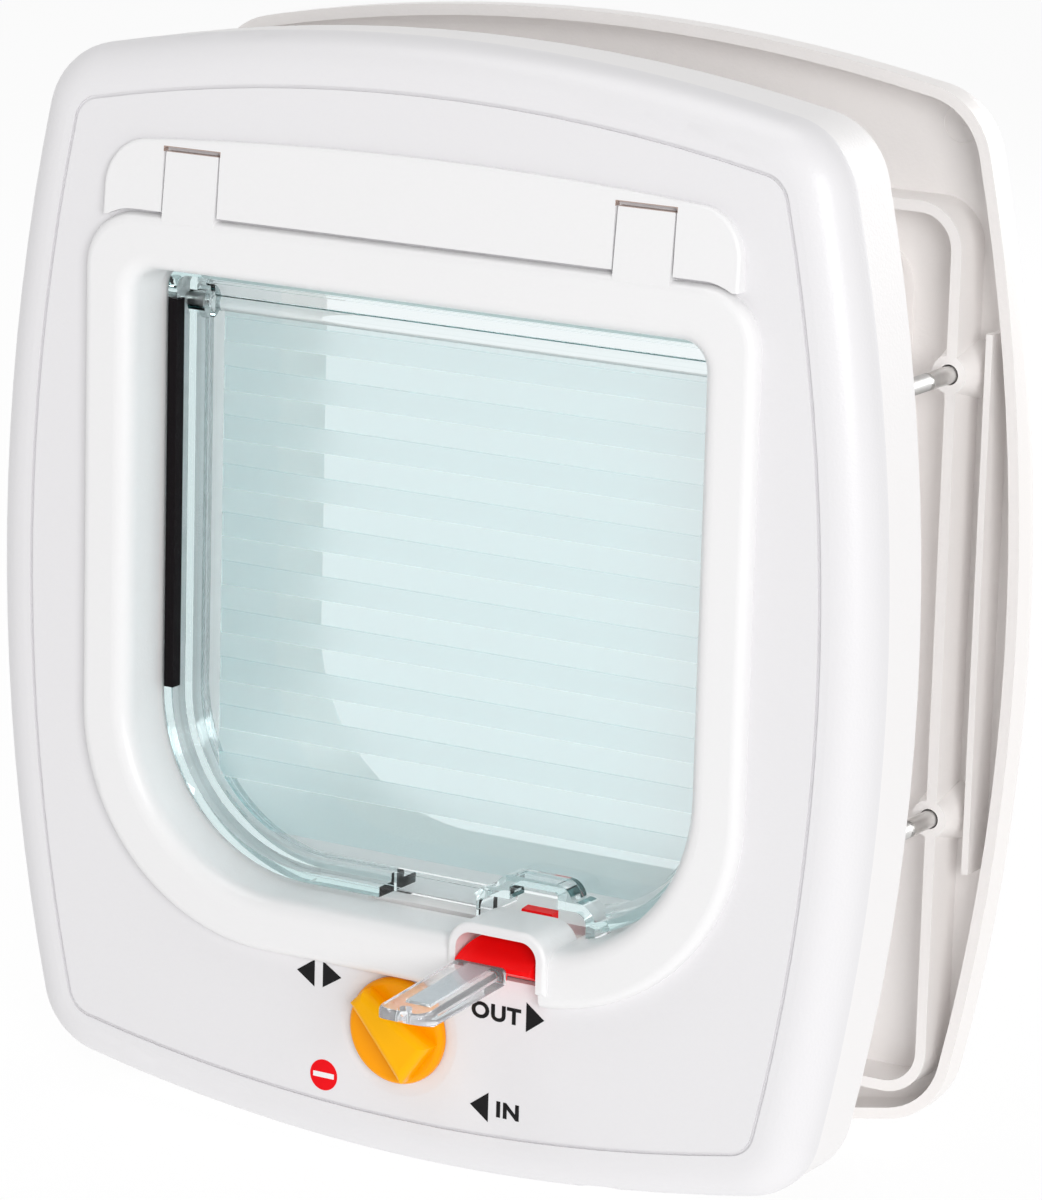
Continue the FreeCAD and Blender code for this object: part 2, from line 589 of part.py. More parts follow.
def base_frame():
    """White base behind the cover: band, plate, front half of the tunnel, and the lock's seats"""
    body = new_body("base_frame")
    span(body, "Pad", PARTING, DOOR_IN, (bowed, "parting_step"))
    span(body, "Pocket", WEB_BACK, DOOR_IN, (bowed, "parting_step+cover_wall"))
    span(body, "Pad", WEB_BACK, "tunnel_reach", tunnel("tunnel_wall"))
    rib = "cover_wall/3"
    ribs = []
    for z in ("20", "-20"):
        ribs.append((panel, "tunnel_half+1", "frame_half-2", f"{z}-{rib}", f"{z}+{rib}"))
        ribs.append((panel, "-(frame_half-2)", "-(tunnel_half+1)", f"{z}-{rib}", f"{z}+{rib}"))
    for x in ("-45", "0", "45"):
        ribs.append((panel, f"{x}-{rib}", f"{x}+{rib}", "tunnel_top+1", "frame_tall-5"))
    span(body, "Pad", WEB_BACK, "-1", *ribs)
    span(body, "Pad", WEB_BACK, DOOR_IN, *circles(FRAME_SPOTS, "base_boss"))
    span(body, "Pocket", "-insert_length-0.2", DOOR_IN, *circles(FRAME_SPOTS, "insert_radius"))
    span(body, "Pocket", WEB_BACK + "+1", DOOR_IN, *circles(FRAME_SPOTS, "screw_radius+fit_gap"))
    span(body, "Pad", WEB_BACK, "-lock_plate", *circles(POSTS, "post_radius"))
    span(body, "Pocket", WEB_BACK, "-lock_plate", *circles(POSTS, "post_hole"))
    # Two short posts hold the detent spring's end between them
    seat = "knob_height+hub_disc"
    span(
        body, "Pad", WEB_BACK, "-lock_plate",
        (circle, "-post_left-1", f"-({seat})+1", "2.5"), (circle, "-post_left+3.5", f"-({seat})-4.7", "2.5"),
    )
    for ends in both_sides("tunnel_half+tunnel_wall-1", PIN_OUT + "+1"):
        span(body, "Pad", *ends, (circle, *FLAP_AXIS, "hub_radius"), plane="YZ_Plane")
    span(body, "Pocket", PARTING, "tunnel_reach", tunnel("0"))
    for ends in both_sides("tunnel_half-1", PIN_OUT + "+0.2"):
        span(body, "Pocket", *ends, (circle, *FLAP_AXIS, "pin_radius+press_gap"), plane="YZ_Plane")
    floor = ("-(tunnel_floor+tunnel_wall+0.4)", "-(tunnel_floor-0.4)")
    reach = "sqrt(lobe_radius^2-(knob_height-tunnel_floor-tunnel_wall)^2)+1"
    for front in ("-lobe_front", "-lobe_front+lobe_pitch"):
        span(
            body, "Pocket", f"{front}-0.5", f"{front}+lobe_thick+0.5",
            (panel, f"-({reach})", reach, *floor),
        )
    span(
        body, "Pocket", PARTING, "-3",
        (panel, "arch_centre-latch_width/2-1", "arch_centre+latch_width/2+1", "-latch_pivot_z-4.5",
         "-(tunnel_floor-0.4)"),
    )
    span(body, "Pocket", PARTING, WEB_BACK, (circle, *KNOB, "shaft_radius+running_gap"))
    span(body, "Pocket", PARTING, WEB_BACK, *circles(COVER_SPOTS, "small_screw+fit_gap"))
    return body


def lean(body, thick, fall, low, high):
    """Cut the front of a raised piece back towards its top, so that it leans into the face"""
    front = f"{FACE}-({thick})"
    hollow(
        body, "Pocket", "lean",
        (shape_of, (front, low), (f"{front}+({fall})", high), (f"{front}-2", high), (f"{front}-2", low)),
    )


def hinge_cover():
    """Raised strip over the flap's pivots, with a notch for each tab"""
    body = new_body("hinge_cover")
    outline = (crowned, "strip_half", "strip_bottom", "strip_top", "strip_bow")
    span(body, "Pad", f"{FACE}-strip_rise", FACE, outline)
    corner, low = number("strip_half"), number("strip_bottom+strip_round/2")
    round_edges(
        body, "strip_round",
        lambda box, edge: box.YLength > 1 and near(abs(box.Center.x), corner) and box.Center.z > low,
    )
    lean(body, "strip_rise", "strip_fall", "strip_bottom-1", "strip_top+1")
    face = number(FACE)
    round_edges(body, "strip_edge", lambda box, edge: box.YMax < face - 0.5 and box.ZLength > 0.01)
    span(body, "Pocket", f"{FACE}-strip_rise-1", FACE, surround("strip_gap"))
    notches = [
        (panel, *edges, "strip_bottom-1", "tab_top+strip_gap", "0", "tab_gap")
        for edges in both_sides("tab_inner-tab_gap", "tab_inner+tab_width+tab_gap")
    ]
    span(body, "Pocket", f"{FACE}-strip_rise-1", FACE, *notches)
    return body


def flap_surround():
    """Raised ring round the opening: soft outer edge, deep inner wall, two tabs, and the arch"""
    body = new_body("flap_surround")
    span(body, "Pad", SURROUND_FRONT, FACE, surround("0"))
    round_edges(body, "surround_edge", lambda box, edge: in_plane(box, number(SURROUND_FRONT)))
    span(body, "Pad", FACE, SURROUND_BACK, passage("surround_wall"))
    span(body, "Pocket", SURROUND_FRONT, SURROUND_BACK, passage("0"))
    limit = number("passage_half") + 0.1
    round_edges(
        body, "surround_lip",
        lambda box, edge: in_plane(box, number(SURROUND_FRONT)) and max(-box.XMin, box.XMax) < limit,
    )
    tabs = [
        (panel, *edges, "surround_top-surround_edge-1", "tab_top", "0", "tab_gap")
        for edges in both_sides("tab_inner", "tab_inner+tab_width")
    ]
    span(body, "Pad", f"{SURROUND_FRONT}+0.3", FACE, *tabs)
    lean(body, "surround_rise-0.3", "strip_fall", "surround_top-1", "tab_top+0.5")
    arch_front = f"{SURROUND_FRONT}-arch_reach"
    top = "-(passage_sill-arch_height)"
    low = "-(passage_sill+window_drop-5)"
    arch = ("arch_centre-arch_width/2", "arch_centre+arch_width/2")
    span(body, "Pad", arch_front, FACE, (panel, *arch, low, top, "0", "arch_round"))
    round_edges(body, "arch_edge", lambda box, edge: in_plane(box, number(arch_front)))
    span(
        body, "Pad", FACE, SURROUND_BACK,
        (panel, *arch, "-(passage_sill+surround_wall)", top, "0", "arch_round"),
    )
    lug = "window_width/2+latch_lug"
    span(
        body, "Pad", FACE, f"{FACE}+3",
        (panel, f"arch_centre-({lug})", f"arch_centre+{lug}", "-latch_pivot_z-3.4", "-passage_sill-1"),
    )
    span(
        body, "Pocket", f"{arch_front}-1", f"{SURROUND_BACK}+1",
        (panel, "arch_centre-window_width/2", "arch_centre+window_width/2", "-(passage_sill+window_drop)",
         f"{top}-arch_thickness", "0", "arch_round-arch_thickness+0.2"),
    )
    span(body, "Pocket", f"{arch_front}-1", FACE, (circle, *KNOB, "knob_radius+0.6"))
    span(
        body, "Pocket", f"arch_centre-({lug})+0.5", f"arch_centre+{lug}-0.5",
        (circle, *LATCH_AXIS, "latch_pin_radius+press_gap"), plane="YZ_Plane",
    )
    return body


# The flap hangs from its axis, and its rim is centred on it
RIM_FRONT = "-pivot_back-flap_depth/2"
RIM_BACK = "-pivot_back+flap_depth/2"


def flap_outline(inset):
    """The flap's outline, set in evenly"""
    shrink = f"flap_gap+{inset}"
    return (
        panel, f"-(passage_half-({shrink}))", f"passage_half-({shrink})", f"-(passage_sill-({shrink}))",
        f"passage_top-0.5-({inset})", f"passage_round-({shrink})", f"max(passage_top_round-({shrink});0.5)",
    )


def flap_panel():
    """Clear flap: a pane in a deep rim, with the axle's line, hubs, level bands and a catch loop"""
    body = new_body("flap_panel")
    span(body, "Pad", "-pivot_back-pane/2", "-pivot_back+pane/2", flap_outline("0"))
    span(body, "Pad", RIM_FRONT, RIM_BACK, flap_outline("0"), flap_outline("rim_wall"))
    span(
        body, "Pad", "-pivot_back-step_depth/2", "-pivot_back+step_depth/2",
        flap_outline("rim_wall-0.2"), flap_outline("rim_wall+step_height"),
    )
    side = "passage_half-flap_gap"
    span(
        body, "Pad", f"-({side}-1)", f"{side}-1", (circle, *FLAP_AXIS, "axle_radius"), plane="YZ_Plane",
    )
    for ends in both_sides(f"{side}-hub_length", side):
        span(body, "Pad", *ends, (circle, *FLAP_AXIS, "hub_radius"), plane="YZ_Plane")
    for ends in both_sides(f"{side}-hub_length+1", side):
        span(
            body, "Pocket", *ends, (circle, *FLAP_AXIS, "pin_radius+running_gap"), plane="YZ_Plane",
        )
    span(
        body, "Pocket", RIM_FRONT, f"{RIM_FRONT}+seal_depth",
        *[(panel, *edges, "-seal_low", "seal_top") for edges in both_sides(f"{side}-rim_wall", side)],
    )
    doc.recompute()
    band = span(
        body, "Pad", "-pivot_back+pane/2-0.1", "-pivot_back+pane/2+band_relief",
        (panel, "-band_half", "band_half", "band_top", "band_top+band_height"),
    )
    repeat = body.newObject("PartDesign::LinearPattern", "flap_bands")
    repeat.Originals = [band]
    repeat.Direction = (band.Profile[0], ["V_Axis"])
    repeat.Reversed = True
    repeat.setExpression("Length", cell("band_pitch*(band_count-1)"))
    repeat.setExpression("Occurrences", cell("band_count"))
    body.Tip = repeat
    # The loop stands flush with the rim's front and reaches back to the pane
    loop = (RIM_FRONT, "-pivot_back-pane/2+0.3")
    edge = "latch_notch/2+rim_wall"
    span(
        body, "Pad", *loop,
        (panel, f"arch_centre-({edge})", f"arch_centre+{edge}", "-(passage_sill-flap_gap)",
         "-notch_top+notch_band", "0", "notch_round+notch_band"),
    )
    span(
        body, "Pad", *loop,
        (panel, "arch_centre-loop_half", "arch_centre+loop_half", "-notch_top", "-loop_top", "0", "4"),
    )
    through = (f"{RIM_FRONT}-1", f"{RIM_BACK}+1")
    span(
        body, "Pocket", *through,
        (panel, "arch_centre-latch_notch/2", "arch_centre+latch_notch/2", "-(passage_sill+1)", "-notch_top",
         "0", "notch_round"),
    )
    span(
        body, "Pocket", through[0], "-pivot_back-pane/2",
        (panel, "arch_centre-loop_gap_half", "arch_centre+loop_gap_half", "-(notch_top+1)",
         "-(loop_top+loop_wall)", "0", "1"),
    )
    lobe_gap = (lobe_gap_front(), lobe_gap_back())
    for ends in ((through[0], lobe_gap[0]), (lobe_gap[1], through[1])):
        span(
            body, "Pocket", *ends,
            (panel, "-lobe_notch_half", "lobe_notch_half", "-(passage_sill+1)",
             "-(passage_sill-flap_gap-lobe_notch_rise)"),
        )
    return body


def lobe_gap_front():
    """Front of the fin that stands midway between the two lobes"""
    return "-lobe_front+(lobe_thick+lobe_pitch)/2-fin/2"


def lobe_gap_back():
    return "-lobe_front+(lobe_thick+lobe_pitch)/2+fin/2"


def draught_strip(name, side):
    """Black strip let into the front of the rim; the side is 0 for right and 1 for left"""
    body = new_body(name)
    edges = both_sides("passage_half-flap_gap-rim_wall", "passage_half-flap_gap")[side]
    span(
        body, "Pad", RIM_FRONT, f"{RIM_FRONT}+seal_depth", (panel, *edges, "-seal_low", "seal_top"),
    )
    return body


def rod(name, radius, start, end, y, z):
    """Plain round pin along X"""
    body = new_body(name)
    span(body, "Pad", start, end, (circle, y, z, radius), plane="YZ_Plane")
    round_edges(body, "0.2", lambda box, edge: near(box.XLength, 0), kind="Chamfer")
    return body


# The key lies against the latch's front face, where the latch's own magnet is
KEY_ROOT = "-latch_pivot_y-latch_reach"
KEY_END = KEY_ROOT + "-key_length"
KEY_TOP = "-latch_pivot_z+key_rise"
KEY_SLOPE = "(key_droop/key_length)"
MAGNET_TOP = "-latch_pivot_z-0.5"
MAGNET_LOW = "-latch_pivot_z-2.3"


def latch_point(back, up):
    """A point of the latch's side view: how far behind its axis and above it"""
    return f"-latch_pivot_y+({back})", f"-latch_pivot_z+({up})"


def latch():
    """Red lever: a sloped block with a lip for its magnet, a hub, and a tab that rises into the flap's loop"""
    body = new_body("latch")
    front = "-latch_reach"
    half = "latch_width/2"
    block = [(front, "0.8"), ("2.5", "5.1"), ("9.2", "4.4"), ("9.2", "2.2"), ("3.5", "-1.9"), ("-2", "-1.8"),
             (front, "-0.2")]
    span(
        body, "Pad", f"arch_centre-{half}", f"arch_centre+{half}",
        (shape_of, *[latch_point(*spot) for spot in block]), plane="YZ_Plane",
    )
    sides = (f"arch_centre-{half}", f"arch_centre+{half}", "-latch_pivot_z-3")
    span(
        body, "Pocket", "-latch_pivot_y-latch_reach-1", "-latch_pivot_y+10",
        (panel, f"{sides[0]}-1", f"{sides[1]}+1", f"{sides[2]}-1", "-latch_pivot_z+6.1"),
        (panel, *sides, "-latch_pivot_z+5.1", "0", "latch_round"),
    )
    span(
        body, "Pad", f"arch_centre-{half}", f"arch_centre+{half}",
        (circle, *LATCH_AXIS, "latch_hub"), plane="YZ_Plane",
    )
    tab = [("8.4", "4.2"), ("11.6", "4.3"), ("13", "8.6"), ("15.7", "8.9"), ("15.7", "7.1"), ("13.5", "6.5"),
           ("12.4", "2.7"), ("8.4", "2")]
    span(
        body, "Pad", "arch_centre-latch_tab/2", "arch_centre+latch_tab/2",
        (shape_of, *[latch_point(*spot) for spot in tab]), plane="YZ_Plane",
    )
    lip = [(front, "0"), ("-2.5", "0"), ("-3.3", "-2.7"), (front, "-2.7")]
    span(
        body, "Pad", "key_centre-5.4", "key_centre+5.4",
        (shape_of, *[latch_point(*spot) for spot in lip]), plane="YZ_Plane",
    )
    span(
        body, "Pocket", f"arch_centre-{half}", f"arch_centre+{half}",
        (circle, *LATCH_AXIS, "latch_pin_radius+running_gap"), plane="YZ_Plane",
    )
    span(
        body, "Pocket", KEY_ROOT, KEY_ROOT + "+1.7",
        (panel, "key_centre-4.2", "key_centre+4.2", MAGNET_LOW, MAGNET_TOP),
    )
    return body


def latch_magnet():
    """Small bar magnet in the latch's lip"""
    body = new_body("latch_magnet")
    span(
        body, "Pad", KEY_ROOT, KEY_ROOT + "+1.6",
        (panel, "key_centre-4.1", "key_centre+4.1", MAGNET_LOW + "+0.1", MAGNET_TOP + "-0.1"),
    )
    return body


def magnet_outline(grow):
    """Side view of the key's magnet, which slopes with the key, grown at its free end and below"""
    length = f"(key_magnet_length+{grow})"
    high, low = f"{KEY_TOP}-1+{grow}/2", f"{KEY_TOP}-1-key_magnet_thick-{grow}/2"
    drop = f"{KEY_SLOPE}*{length}"
    return (
        (KEY_ROOT, high), (f"{KEY_ROOT}-{length}", f"{high}-{drop}"), (f"{KEY_ROOT}-{length}", f"{low}-{drop}"),
        (KEY_ROOT, low),
    )


def key_case():
    """Clear magnet key: a flat bar with soft upper edges, an eyelet and a bore for its magnet"""
    body = new_body("key_case")
    side = [
        (KEY_ROOT, KEY_TOP), (KEY_END, f"{KEY_TOP}-key_droop"), (KEY_END, f"{KEY_TOP}-key_droop-key_thick*0.55"),
        (f"{KEY_ROOT}-key_length*0.88", f"{KEY_TOP}-key_droop*0.88-key_thick*0.9"),
        (KEY_ROOT, f"{KEY_TOP}-key_thick"),
    ]
    span(
        body, "Pad", "key_centre-key_width/2", "key_centre+key_width/2", (shape_of, *side), plane="YZ_Plane",
    )
    end, root, roof = number(KEY_END), number(KEY_ROOT), number(f"{KEY_TOP}-key_droop")
    round_edges(
        body, "key_round",
        lambda box, edge: near(box.YMax, end, 0.05) and box.ZLength > 1 and box.XLength < 0.05,
    )
    round_edges(
        body, "key_edge",
        lambda box, edge: box.ZMin > roof - 0.05 and box.YMin < root - 0.1 and not near(box.YLength, 0),
    )
    span(
        body, "Pocket", f"{KEY_TOP}-key_thick-key_droop-1", f"{KEY_TOP}+1",
        (circle, "key_centre", f"{KEY_END}+2.9", "eyelet_radius"), plane="XY_Plane",
    )
    span(
        body, "Pocket", "key_centre-key_magnet_width/2-0.1", "key_centre+key_magnet_width/2+0.1",
        (shape_of, *magnet_outline("0.2")), plane="YZ_Plane",
    )
    return body


def key_magnet():
    """Bar magnet inside the key"""
    body = new_body("key_magnet")
    span(
        body, "Pad", "key_centre-key_magnet_width/2", "key_centre+key_magnet_width/2",
        (shape_of, *magnet_outline("0")), plane="YZ_Plane",
    )
    return body


def diagonal(along, across):
    """A point about the knob's axis, along its pointer (up to the left) and across it"""
    return (
        f"sqrt(0.5)*(({across})-({along}))",
        f"-knob_height+sqrt(0.5)*(({along})+({across}))",
    )


KNOB_BACK = "-inside_depth+dish_depth*(1-(knob_radius/dish_radius)^2)-fit_gap"


def selector_knob():
    """Orange knob: a disc with a tapered pointer ridge, a shaft and a square end"""
    body = new_body("selector_knob")
    front = f"{KNOB_BACK}-knob_skirt"
    span(body, "Pad", front, KNOB_BACK, (circle, *KNOB, "knob_radius"))
    round_edges(body, "1.4", lambda box, edge: in_plane(box, number(front)))
    ridge = f"{KNOB_BACK}-knob_ridge"
    corners = [("11", "-2.4"), ("11", "2.4"), ("-8.6", "7.4"), ("-10.4", "-4.4")]
    span(body, "Pad", ridge, f"{KNOB_BACK}-1", (shape_of, *[diagonal(*spot) for spot in corners]))
    round_edges(body, "knob_edge", lambda box, edge: in_plane(box, number(ridge)))
    span(body, "Pad", KNOB_BACK, WEB_BACK + "+0.2", (circle, *KNOB, "shaft_radius"))
    span(
        body, "Pad", WEB_BACK + "+0.2", "-5.2",
        (panel, "-spigot/2", "spigot/2", "-knob_height-spigot/2", "-knob_height+spigot/2"),
    )
    span(body, "Pocket", WEB_BACK, "-5.2", (circle, *KNOB, "post_hole"))
    return body


def selector_disc():
    """Hub with two layers of lobes that rise into the flap's lower edge as the knob turns"""
    body = new_body("selector_disc")
    span(body, "Pad", WEB_BACK + "+0.3", "-2.2", (circle, *KNOB, "hub_disc"))
    layers = (("-lobe_front", ("180", "0")), ("-lobe_front+lobe_pitch", ("270", "0")))
    for front, middles in layers:
        for middle in middles:
            span(
                body, "Pad", front, f"{front}+lobe_thick",
                (sector, *KNOB, "lobe_radius", middle, "lobe_half_angle"),
            )
    socket = "spigot/2+0.1"
    span(
        body, "Pocket", WEB_BACK + "+0.3", "-5",
        (panel, f"-({socket})", socket, f"-knob_height-({socket})", f"-knob_height+{socket}"),
    )
    span(body, "Pocket", "-5", "-2.2", (circle, *KNOB, "small_screw+0.2"))
    span(body, "Pocket", "-4.4", "-2.2", (circle, *KNOB, "small_head+fit_gap"))
    out = "hub_disc+0.4"
    notches = [
        (circle, "0", f"-knob_height-({out})", "detent_radius"),
        (circle, "0", f"-knob_height+{out}", "detent_radius"),
        (circle, out, "-knob_height", "detent_radius"),
        (circle, f"-({out})", "-knob_height", "detent_radius"),
    ]
    span(body, "Pocket", "-8.6", "-5", *notches)
    return body


def detent_spring():
    """Steel leaf whose bump drops into the hub's notches"""
    body = new_body("detent_spring")
    level = "-(knob_height+hub_disc+1.6)"
    thick = "0.5"
    end = "-post_left-2"
    outline = [(end, level), ("-3", level), ("0", f"{level}+1.35"), ("3", level), ("6", level),
               ("6", f"{level}-{thick}"), ("3.2", f"{level}-{thick}"), ("0", f"{level}+1.35-{thick}"),
               ("-3.2", f"{level}-{thick}"), (end, f"{level}-{thick}")]
    span(body, "Pad", "-8.2", "-5.4", (shape_of, *outline))
    return body


def lock_cover():
    """Flat plate that closes the lock from behind"""
    body = new_body("lock_cover")
    edge = "post_radius+2.2"
    span(
        body, "Pad", "-lock_plate", DOOR_IN,
        (panel, f"-(post_left+{edge})", f"post_right+{edge}", f"-(post_low+{edge})", f"-(post_high-({edge}))",
         "4", "4"),
    )
    span(
        body, "Pocket", "-lock_plate", DOOR_IN,
        *[(circle, x, z, "small_screw+0.2") for x, z in POSTS],
    )
    span(body, "Pocket", "-1.1", DOOR_IN, *[(circle, x, z, "2.6") for x, z in POSTS])
    return body


def outside_frame():
    """Outside frame: shallow dish with a collar ring, bosses, side ribs and the tunnel's sleeve"""
    body = new_body("outside_frame")
    span(body, "Pad", DOOR_OUT, OUTER_FACE, (bowed, "0"))
    span(body, "Pocket", DOOR_OUT, PLATE_IN, (bowed, "outside_wall"))
    round_edges(body, "plate_round", lambda box, edge: in_plane(box, number(PLATE_IN)))
    round_edges(body, "face_round", lambda box, edge: in_plane(box, number(OUTER_FACE)))
    span(body, "Pad", "tunnel_reach-sleeve_overlap", PLATE_IN, tunnel("2*tunnel_wall+sleeve_gap"))
    span(
        body, "Pad", DOOR_OUT, PLATE_IN,
        (panel, "-collar_half", "collar_half", "-collar_low", "collar_top", "collar_round", "collar_round"),
        (panel, "-(collar_half-collar_wall)", "collar_half-collar_wall", "-(collar_low-collar_wall)",
         "collar_top-collar_wall", "collar_round-collar_wall", "collar_round-collar_wall"),
    )
    for x, z in FRAME_SPOTS:
        boss = body.newObject("PartDesign::AdditiveCone", "outside_boss")
        side = [item for item in body.Origin.OriginFeatures if item.Role == "XZ_Plane"][0]
        boss.AttachmentSupport = [(side, "")]
        boss.MapMode = "FlatFace"
        boss.setExpression("Radius1", cell("boss_root"))
        boss.setExpression("Radius2", cell("boss_tip"))
        boss.setExpression("Height", cell("outside_depth-outside_wall"))
        boss.setExpression("AttachmentOffset.Base.x", cell(x))
        boss.setExpression("AttachmentOffset.Base.y", cell(z))
        boss.setExpression("AttachmentOffset.Base.z", cell(f"-({PLATE_IN})"))
    doc.recompute()
    span(
        body, "Pad", DOOR_OUT + "+2.5", PLATE_IN,
        *[(panel, *edges, "-side_rib_low", "side_rib_high")
          for edges in both_sides("side_rib_x", "side_rib_x+side_rib")],
    )
    span(body, "Pocket", "tunnel_reach-sleeve_overlap", OUTER_FACE, tunnel("tunnel_wall+sleeve_gap"))
    limit = number("tunnel_top") + number("tunnel_wall") + number("sleeve_gap") + 0.2
    round_edges(
        body, "1.2",
        lambda box, edge: in_plane(box, number(OUTER_FACE)) and max(
            -box.XMin, box.XMax, -box.ZMin, box.ZMax) < limit,
    )
    span(body, "Pocket", DOOR_OUT, OUTER_FACE, *circles(FRAME_SPOTS, "screw_radius+screw_clear"))
    span(body, "Pocket", HEAD_SEAT, OUTER_FACE, *circles(FRAME_SPOTS, "screw_head+fit_gap"))
    return body


def tube(name, radius, start, end, x, z):
    """Cylinder along Y between two places"""
    solid = doc.addObject("Part::Cylinder", name)
    solid.setExpression("Radius", cell(radius))
    solid.setExpression("Height", cell(f"({end})-({start})"))
    solid.Placement.Rotation = FreeCAD.Rotation(V(1, 0, 0), -90)
    solid.setExpression("Placement.Base.x", cell(x))
    solid.setExpression("Placement.Base.y", cell(start))
    solid.setExpression("Placement.Base.z", cell(z))
    return solid


def bar(name, wide, deep, tall, x, y, z):
    """Box centred on x and z that starts at y"""
    solid = doc.addObject("Part::Box", name)
    for side, text in (("Length", wide), ("Width", deep), ("Height", tall)):
        solid.setExpression(side, cell(text))
    solid.setExpression("Placement.Base.x", cell(f"{x}-({wide})/2"))
    solid.setExpression("Placement.Base.y", cell(y))
    solid.setExpression("Placement.Base.z", cell(f"{z}-({tall})/2"))
    return solid


def screws(name, spots, shank, tip, seat, head, head_depth):
    """A group of equal screws along Y: shank, head, and a cross in the head"""
    group = []
    for x, z in spots:
        fused = doc.addObject("Part::MultiFuse", name + "_body")
        fused.Shapes = [
            tube(name + "_shank", shank, tip, f"{seat}+0.2", x, z),
            tube(name + "_head", head, seat, f"{seat}+{head_depth}", x, z),
        ]
        cross = doc.addObject("Part::MultiFuse", name + "_cross")
        slot = f"({head})*1.1"
        start = f"{seat}+({head_depth})*0.45"
        cross.Shapes = [
            bar(name + "_slot", slot, head_depth, f"({head})*0.25", x, start, z),
            bar(name + "_slot", f"({head})*0.25", head_depth, slot, x, start, z),
        ]
        cut = doc.addObject("Part::Cut", name + "_one")
        cut.Base, cut.Tool = fused, cross
        group.append(cut)
    if len(group) == 1:
        group[0].Label = name
        return group[0]
    together = doc.addObject("Part::Compound", name)
    together.Links = group
    return together


def thread_inserts():
    """Brass inserts in the base's bosses"""
    group = []
    for x, z in FRAME_SPOTS:
        cut = doc.addObject("Part::Cut", "insert_one")
        cut.Base = tube("insert_out", "insert_radius-press_gap", "-insert_length", DOOR_IN, x, z)
        cut.Tool = tube("insert_in", "screw_radius+press_gap", "-insert_length-1", "1", x, z)
        group.append(cut)
    together = doc.addObject("Part::Compound", "thread_inserts")
    together.Links = group
    return together


latch_pin_half = "window_width/2+latch_lug-0.6"
nodes = {
    "inside_frame": inside_frame(),
    "base_frame": base_frame(),
    "hinge_cover": hinge_cover(),
    "flap_surround": flap_surround(),
    "flap_panel": flap_panel(),
    "draught_strip_left": draught_strip("draught_strip_left", 1),
    "draught_strip_right": draught_strip("draught_strip_right", 0),
    "hinge_pin_left": rod("hinge_pin_left", "pin_radius", f"-({PIN_OUT})", f"-({PIN_IN})", *FLAP_AXIS),
    "hinge_pin_right": rod("hinge_pin_right", "pin_radius", PIN_IN, PIN_OUT, *FLAP_AXIS),
    "latch": latch(),
    "latch_pin": rod(
        "latch_pin", "latch_pin_radius", f"arch_centre-({latch_pin_half})", f"arch_centre+{latch_pin_half}",
        *LATCH_AXIS),
    "latch_magnet": latch_magnet(),
    "key_case": key_case(),
    "key_magnet": key_magnet(),
    "selector_knob": selector_knob(),
    "selector_disc": selector_disc(),
    "selector_screw": screws("selector_screw", [KNOB], "small_screw", "-12", "-4.4", "small_head", "1.9"),
    "detent_spring": detent_spring(),
    "lock_cover": lock_cover(),
    "lock_cover_screws": screws("lock_cover_screws", POSTS, "small_screw", "-9", "-1.1", "2.4", "1.05"),
    "cover_screws": screws(
        "cover_screws", COVER_SPOTS, "small_screw", f"{COVER_BACK}+1.5", WEB_BACK, "small_head", "1.9"),
    "outside_frame": outside_frame(),
    "frame_screws": screws(
        "frame_screws", FRAME_SPOTS, "screw_radius", "-11", HEAD_SEAT, "screw_head", "screw_head_depth"),
    "thread_inserts": thread_inserts(),
}

doc.recompute()
for item in doc.Objects:
    if "Invalid" in item.State or "Error" in item.State:
        raise RuntimeError(f"{item.Name} failed: {item.State}")
for name, item in nodes.items():
    shape = item.Shape
    if shape.isNull() or not shape.isValid():
        raise RuntimeError(f"{name} has no valid shape")
    shape.exportStep(f"parts/{name}.step")
    box = shape.BoundBox
    print(f"{name}: {len(shape.Solids)} solids, {shape.Volume / 1000:.2f} cm3, "
          f"x {box.XMin:.1f}..{box.XMax:.1f} y {box.YMin:.1f}..{box.YMax:.1f} z {box.ZMin:.1f}..{box.ZMax:.1f}")
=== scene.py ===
import math

import bpy
from mathutils import Matrix, Vector


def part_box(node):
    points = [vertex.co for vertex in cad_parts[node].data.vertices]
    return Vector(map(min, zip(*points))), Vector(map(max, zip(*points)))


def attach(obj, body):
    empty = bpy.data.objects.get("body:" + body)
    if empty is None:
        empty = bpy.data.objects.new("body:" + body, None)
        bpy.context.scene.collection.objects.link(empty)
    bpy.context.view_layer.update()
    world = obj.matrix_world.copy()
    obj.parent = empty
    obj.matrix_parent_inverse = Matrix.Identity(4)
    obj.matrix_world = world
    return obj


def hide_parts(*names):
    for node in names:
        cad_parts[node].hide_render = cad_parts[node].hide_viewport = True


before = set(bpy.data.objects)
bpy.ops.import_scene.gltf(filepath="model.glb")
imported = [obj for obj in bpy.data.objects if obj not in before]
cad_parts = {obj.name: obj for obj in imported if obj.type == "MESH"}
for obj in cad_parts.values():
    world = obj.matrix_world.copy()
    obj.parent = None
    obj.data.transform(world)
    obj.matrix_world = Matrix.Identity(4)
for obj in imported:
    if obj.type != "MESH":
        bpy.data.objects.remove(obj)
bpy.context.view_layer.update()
bpy.ops.object.select_all(action="DESELECT")
